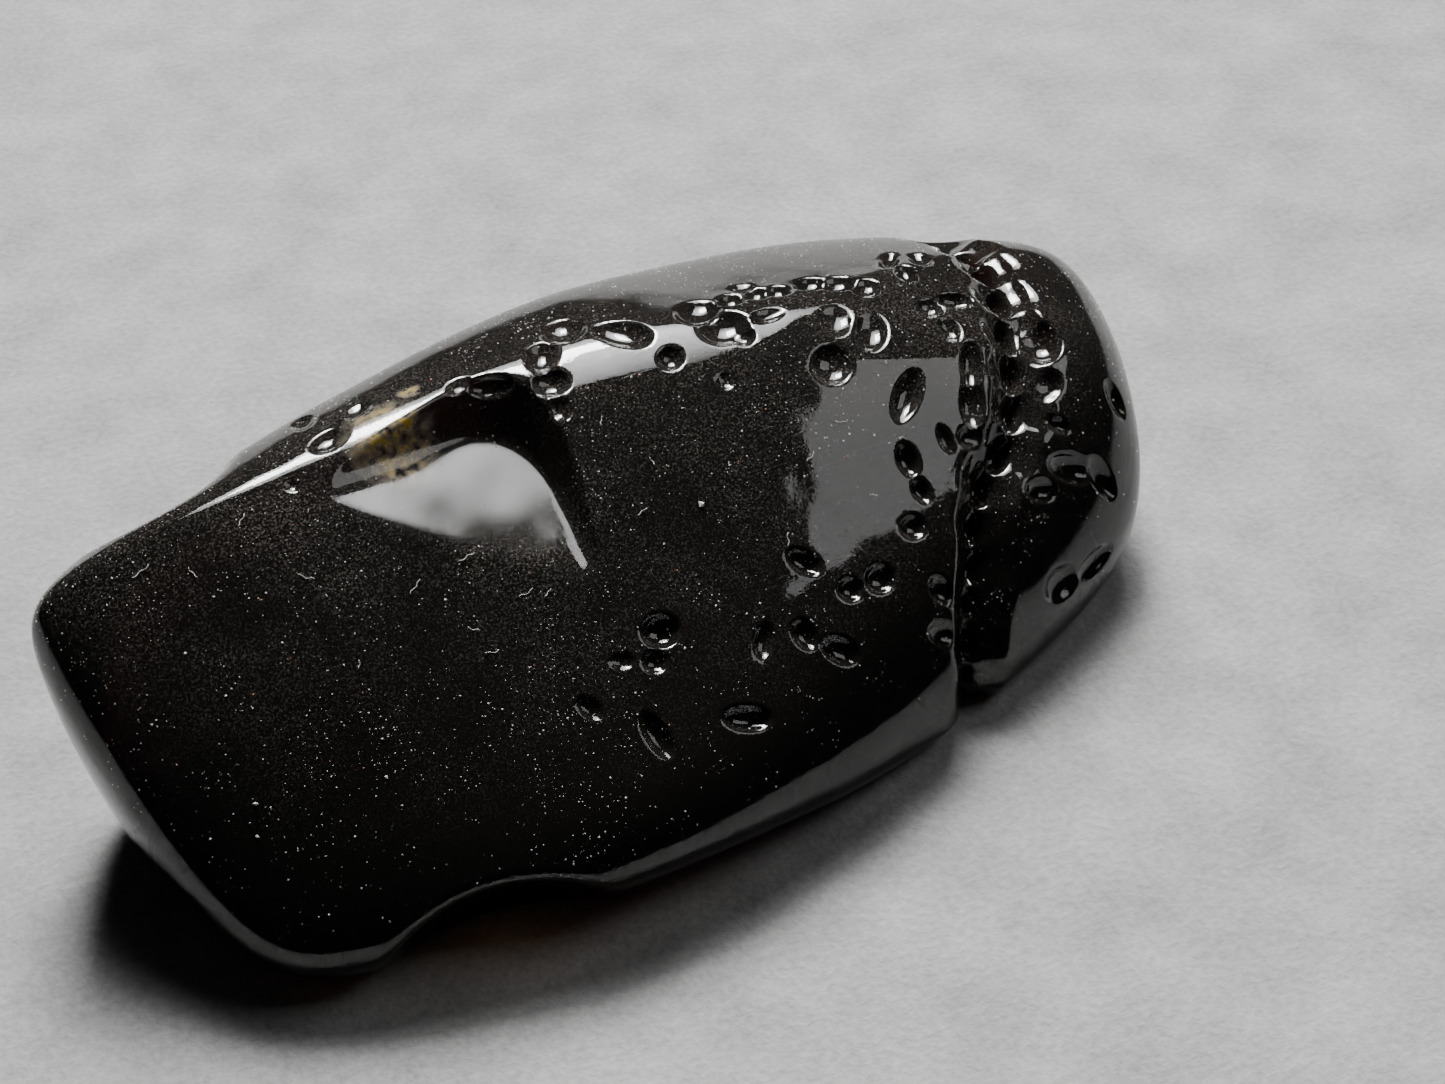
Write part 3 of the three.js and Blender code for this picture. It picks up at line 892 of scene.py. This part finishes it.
def glass_material():
    """Dark natural glass, polished by tumbling, under a thin uneven film of dust."""
    material, tree = new_material("tektite_glass")
    place = node(tree, "ShaderNodeTexCoord").outputs["Object"]
    cloud = between(tree, noise(tree, place, 4.0, 4.0), 0.38, 0.68)
    grain = between(tree, noise(tree, place, 0.09, 2.0, 0.7), 0.5, 0.75)
    film = math_node(tree, "MULTIPLY", math_node(tree, "ADD", cloud, 0.35), grain)
    frost = near_to(tree, place, SHELF_MIDDLE, SHELF_FROST_REACH)
    lines = math_node(
        tree,
        "ADD",
        scratches(tree, place, (0, 0, 20), 0.09),
        scratches(tree, place, (0, 0, -65), 0.07),
    )
    dull = math_node(tree, "ADD", math_node(tree, "MULTIPLY", film, FILM_DULLS), POLISH)
    frosted = math_node(tree, "MULTIPLY", frost, FROST_DULLS)
    streaked = math_node(tree, "MULTIPLY", lines, SCRATCHES_DULL)
    roughness = math_node(tree, "ADD", math_node(tree, "ADD", dull, frosted), streaked)
    tall = node(tree, "ShaderNodeSeparateXYZ", Vector=place).outputs["Z"]
    settled = between(tree, tall, DUSTY_FROM * MM, DUSTY_TO * MM, 0.05, 1.0)
    clear = between(
        tree, math_node(tree, "MULTIPLY", film, settled), 0.0, THICKEST_FILM, CLEAREST, DUSTIEST
    )
    # Painted glow: streaky amber painted round the thin crest where light would shine through the glass,
    # with the glass made less clear there so the colour shows.
    painted_glow_streaks = between(tree, noise(tree, place, 0.5, 4.0), 0.36, 0.66)
    painted_glow = 0.0
    for centre, reach in PAINTED_GLOW_SPOTS:
        painted_glow = math_node(tree, "ADD", painted_glow, near_to(tree, place, centre, reach))
    painted_glow = math_node(tree, "MULTIPLY", painted_glow, painted_glow_streaks)
    body = mixed(tree, painted_glow, DUST_FILM, PAINTED_GLOW_COLOUR)
    clear = math_node(tree, "MULTIPLY", clear, between(tree, painted_glow, 0.0, 1.0, 1.0, PAINTED_GLOW_CLEAR))
    relief = math_node(
        tree,
        "SUBTRACT",
        noise(tree, place, 0.3, 3.0),
        math_node(tree, "MULTIPLY", lines, SCRATCH_DEPTH),
    )
    fine = math_node(tree, "MULTIPLY", noise(tree, place, 0.06, 1.0), frost)
    relief = math_node(tree, "ADD", relief, fine)
    bump = node(tree, "ShaderNodeBump", Height=relief, Strength=0.35, Distance=GLASS_RELIEF * MM)
    principled = node(
        tree,
        "ShaderNodeBsdfPrincipled",
        Base_Color=body,
        Roughness=roughness,
        IOR=GLASS_IOR,
        Transmission_Weight=clear,
        Normal=bump.outputs["Normal"],
    )
    out = finish_surface(tree, principled)
    soak = node(tree, "ShaderNodeVolumeAbsorption", Color=GLASS_COLOUR, Density=GLASS_DENSITY)
    tree.links.new(soak.outputs["Volume"], out.inputs["Volume"])
    return material


def dust_material():
    material, tree = new_material("dust_grains")
    place = node(tree, "ShaderNodeTexCoord").outputs["Object"]
    rusty = between(tree, noise(tree, place, 0.5, 1.0), 0.62, 0.68)
    colour = mixed(tree, rusty, DUST_COLOUR, RUSTY_DUST_COLOUR)
    principled = node(tree, "ShaderNodeBsdfPrincipled", Base_Color=colour, Roughness=0.85)
    finish_surface(tree, principled)
    return material


def lint_material():
    material, tree = new_material("lint_fibre")
    place = node(tree, "ShaderNodeTexCoord").outputs["Object"]
    colour = mixed(tree, noise(tree, place, 0.2, 1.0), LINT_PALE, LINT_DARK)
    principled = node(tree, "ShaderNodeBsdfPrincipled", Base_Color=colour, Roughness=0.6)
    finish_surface(tree, principled)
    return material


def floor_material():
    """A plain pale sheet, faintly mottled."""
    material, tree = new_material("pale_floor")
    place = node(tree, "ShaderNodeTexCoord").outputs["Object"]
    blotch = between(tree, noise(tree, place, 4.5, 5.0, 0.6), 0.3, 0.7)
    grain = between(tree, noise(tree, place, 0.35, 3.0), 0.3, 0.7)
    share = math_node(
        tree,
        "ADD",
        math_node(tree, "MULTIPLY", grain, FLOOR_GRAIN_SHARE),
        math_node(tree, "MULTIPLY", blotch, 1 - FLOOR_GRAIN_SHARE),
    )
    colour = mixed(tree, share, FLOOR_DARKER, FLOOR_LIGHTER)
    relief = math_node(tree, "ADD", blotch, math_node(tree, "MULTIPLY", grain, 0.5))
    bump = node(tree, "ShaderNodeBump", Height=relief, Strength=0.5, Distance=FLOOR_RELIEF * MM)
    principled = node(
        tree,
        "ShaderNodeBsdfPrincipled",
        Base_Color=colour,
        Roughness=0.9,
        Normal=bump.outputs["Normal"],
    )
    finish_surface(tree, principled)
    return material


# ---------------------------------------------------------------- floor, lights, camera


def make_floor():
    mesh = bpy.data.meshes.new("floor")
    half = FLOOR_SIZE / 2
    corners = [(-half, -half, 0), (half, -half, 0), (half, half, 0), (-half, half, 0)]
    mesh.from_pydata(corners, [], [(0, 1, 2, 3)])
    mesh.materials.append(floor_material())
    add("floor", mesh)


def turn_towards(thing, at):
    way = Vector(at) - thing.location
    thing.rotation_euler = way.to_track_quat("-Z", "Y").to_euler()


def make_light(name, azimuth, elevation, width, height, brightness, spread):
    """A soft light round the stone: width and height are seen from the stone, in degrees."""
    light = bpy.data.lights.new(name, "AREA")
    light.shape = "RECTANGLE"
    light.size = 2 * LIGHT_DISTANCE * math.tan(math.radians(width / 2))
    light.size_y = 2 * LIGHT_DISTANCE * math.tan(math.radians(height / 2))
    light.spread = math.radians(spread)
    light.energy = brightness * math.pi * light.size * light.size_y
    if spread < 180:
        half = math.radians(spread / 2)
        light.energy *= 1 - half / math.tan(half)  # a narrow beam is brighter for its power
    lamp = bpy.data.objects.new(name, light)
    lamp.location = Vector(direction(azimuth, elevation) * LIGHT_DISTANCE)
    bpy.context.collection.objects.link(lamp)
    turn_towards(lamp, LIT_POINT)


def make_camera():
    camera = bpy.data.cameras.new("camera")
    camera.lens = LENS
    camera.sensor_width = SENSOR_WIDTH
    camera.clip_start = NEAREST_SEEN
    eye = bpy.data.objects.new("camera", camera)
    bpy.context.collection.objects.link(eye)
    eye.location = (CAMERA_AT + TO_FRAME) * MM
    towards_camera = Vector(direction(*CAMERA_TURN))
    eye.rotation_euler = towards_camera.to_track_quat("Z", "Y").to_euler()
    bpy.context.scene.camera = eye


def make_world():
    world = bpy.data.worlds.new("room")
    world.use_nodes = True
    bpy.context.scene.world = world
    background = world.node_tree.nodes["Background"]
    background.inputs["Color"].default_value = ROOM_COLOUR
    background.inputs["Strength"].default_value = ROOM_BRIGHTNESS


# ---------------------------------------------------------------- the scene

stone, stone_points, stone_triangles = make_stone()
stone.data.materials.append(glass_material())
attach(stone, "root")
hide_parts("stone")

for loose, material in (
    (make_dust(stone_points, stone_triangles), dust_material()),
    (make_lint(), lint_material()),
):
    loose.data.materials.append(material)
    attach(loose, "root")

make_floor()
make_world()
for light in LIGHTS:
    make_light(*light)
make_camera()
